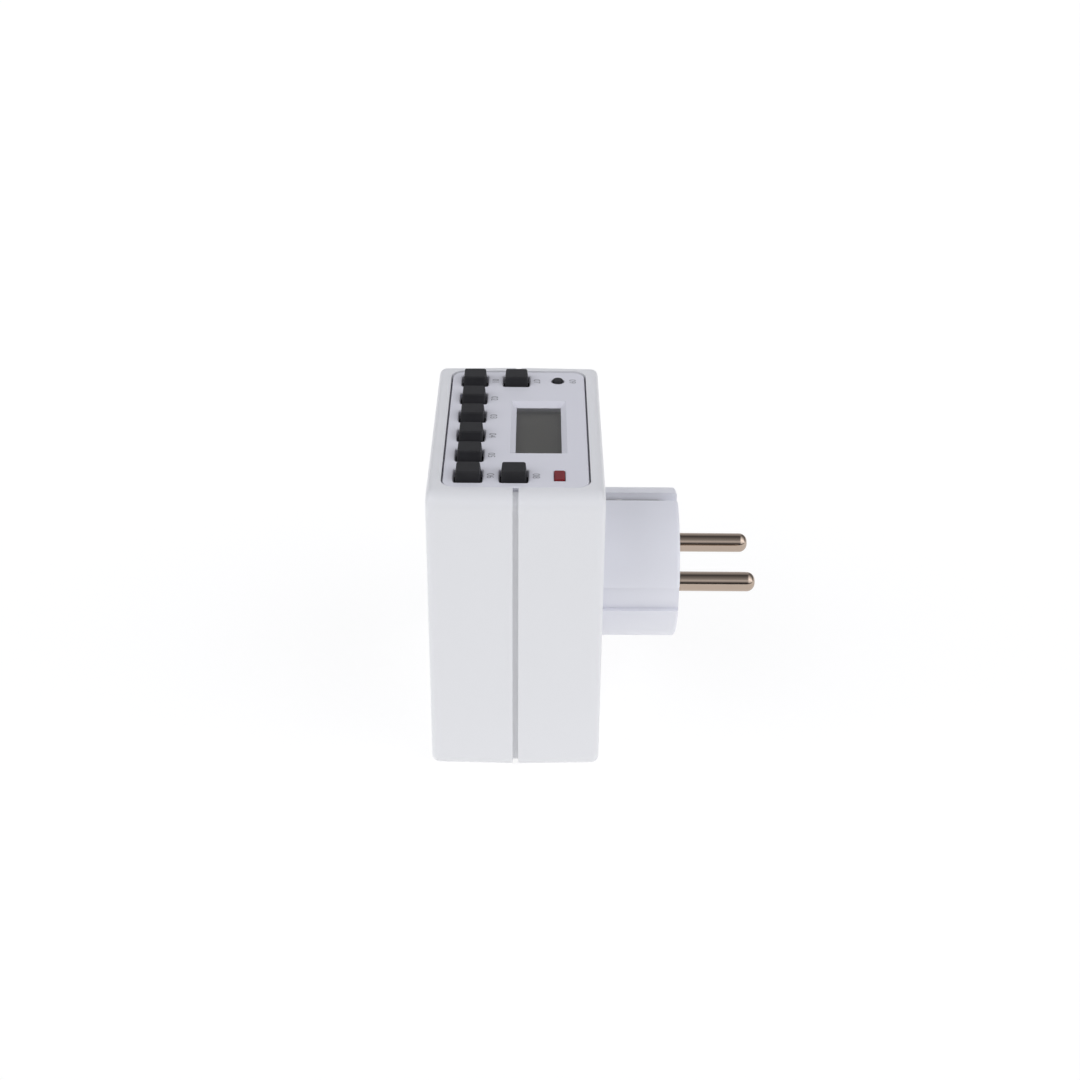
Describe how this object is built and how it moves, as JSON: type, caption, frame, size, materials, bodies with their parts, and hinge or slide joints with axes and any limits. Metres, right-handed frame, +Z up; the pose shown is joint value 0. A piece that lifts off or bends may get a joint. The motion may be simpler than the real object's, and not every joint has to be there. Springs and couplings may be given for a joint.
{
  "type": "digital plug-in timer",
  "caption": "Plug-in mains timer: two-part housing with a control panel on top, a round earthed plug behind and a matching socket well in front.",
  "frame": {"origin": "bottom centre of the whole object's box: under the middle of its depth from the socket face to the pin tips, at the height of the face it stands on", "axes": "+X from the socket face to the plug pins, +Y across the housing along the line of the pins, +Z up to the control panel"},
  "size_m": [0.0782, 0.0722, 0.0765],
  "materials": {
    "housing_white": "satin",
    "panel_white": "fine matt",
    "key_rubber": "matt",
    "clear_window": "clear",
    "lcd_glass": "smooth",
    "inner_plastic": "matt",
    "lamp_red": "clear tinted",
    "tinned_metal": "bright",
    "zinc_steel": "zinc plated",
    "spring_steel": "oiled",
    "nickel": "nickel plated",
    "contact_brass": "bare",
    "circuit_board": "solder mask",
    "black_resin": "semi-matt",
    "cable_grey": "smooth",
    "relay_blue": "satin",
    "capacitor_yellow": "satin",
    "varistor_blue": "satin",
    "fuse_ceramic": "glazed"
  },
  "bodies": {
    "housing": {"backup_cell": "tinned_metal", "backup_cell_tabs": "tinned_metal", "carrier_screws": "zinc_steel", "clock_crystal": "tinned_metal", "contact_carrier": "inner_plastic", "control_board": "circuit_board", "control_board_screws": "zinc_steel", "control_chip": "black_resin", "control_panel": "panel_white", "dropper_capacitor": "capacitor_yellow", "earth_rivet": "contact_brass", "front_shell": "housing_white", "fuse": "fuse_ceramic", "housing_screws": "zinc_steel", "keypad_mat": "key_rubber", "lcd_cell": "lcd_glass", "lcd_contact_strips": "key_rubber", "lcd_frame": "inner_plastic", "lcd_window": "clear_window", "led_lamp": "lamp_red", "led_leads": "tinned_metal", "live_contact": "contact_brass", "live_input_bar": "contact_brass", "live_output_bar": "contact_brass", "live_pin": "nickel", "neutral_bar": "contact_brass", "neutral_contact": "contact_brass", "neutral_pin": "nickel", "plug_body": "housing_white", "plug_earth_contact": "nickel", "power_board": "circuit_board", "rear_shell": "housing_white", "rectifier": "black_resin", "relay": "relay_blue", "ribbon_cable": "cable_grey", "ribbon_plugs": "inner_plastic", "shutter_screw": "zinc_steel", "shutter_spring": "spring_steel", "smoothing_capacitor": "black_resin", "socket_earth_contact": "nickel", "socket_insert": "housing_white", "varistor": "varistor_blue"},
    "minute_button": {"minute_button": "key_rubber"},
    "hour_button": {"hour_button": "key_rubber"},
    "week_button": {"week_button": "key_rubber"},
    "countdown_button": {"countdown_button": "key_rubber"},
    "timer_button": {"timer_button": "key_rubber"},
    "clock_button": {"clock_button": "key_rubber"},
    "manual_button": {"manual_button": "key_rubber"},
    "random_button": {"random_button": "key_rubber"},
    "reset_button": {"reset_button": "key_rubber"},
    "shutter": {"shutter": "inner_plastic"}
  },
  "joints": [
    {"name": "minute_button_press", "type": "slide", "parent": "housing", "child": "minute_button", "axis": [0, 0, -1], "range_m": [0, 0.001], "stiffness_N_per_m": 400, "springref_m": -0.0004},
    {"name": "hour_button_press", "type": "slide", "parent": "housing", "child": "hour_button", "axis": [0, 0, -1], "range_m": [0, 0.001], "stiffness_N_per_m": 400, "springref_m": -0.0004},
    {"name": "week_button_press", "type": "slide", "parent": "housing", "child": "week_button", "axis": [0, 0, -1], "range_m": [0, 0.001], "stiffness_N_per_m": 400, "springref_m": -0.0004},
    {"name": "countdown_button_press", "type": "slide", "parent": "housing", "child": "countdown_button", "axis": [0, 0, -1], "range_m": [0, 0.001], "stiffness_N_per_m": 400, "springref_m": -0.0004},
    {"name": "timer_button_press", "type": "slide", "parent": "housing", "child": "timer_button", "axis": [0, 0, -1], "range_m": [0, 0.001], "stiffness_N_per_m": 400, "springref_m": -0.0004},
    {"name": "clock_button_press", "type": "slide", "parent": "housing", "child": "clock_button", "axis": [0, 0, -1], "range_m": [0, 0.001], "stiffness_N_per_m": 400, "springref_m": -0.0004},
    {"name": "manual_button_press", "type": "slide", "parent": "housing", "child": "manual_button", "axis": [0, 0, -1], "range_m": [0, 0.001], "stiffness_N_per_m": 400, "springref_m": -0.0004},
    {"name": "random_button_press", "type": "slide", "parent": "housing", "child": "random_button", "axis": [0, 0, -1], "range_m": [0, 0.001], "stiffness_N_per_m": 400, "springref_m": -0.0004},
    {"name": "reset_button_press", "type": "slide", "parent": "housing", "child": "reset_button", "axis": [0, 0, -1], "range_m": [0, 0.0006], "stiffness_N_per_m": 400, "springref_m": -0.0004},
    {"name": "shutter_turn", "type": "hinge", "parent": "housing", "child": "shutter", "pos_m": [-0.0176, 0, 0.037], "axis": [1, 0, 0], "range_deg": [0, 38], "stiffness_Nm_per_rad": 0.01, "springref_deg": -5.73}
  ]
}
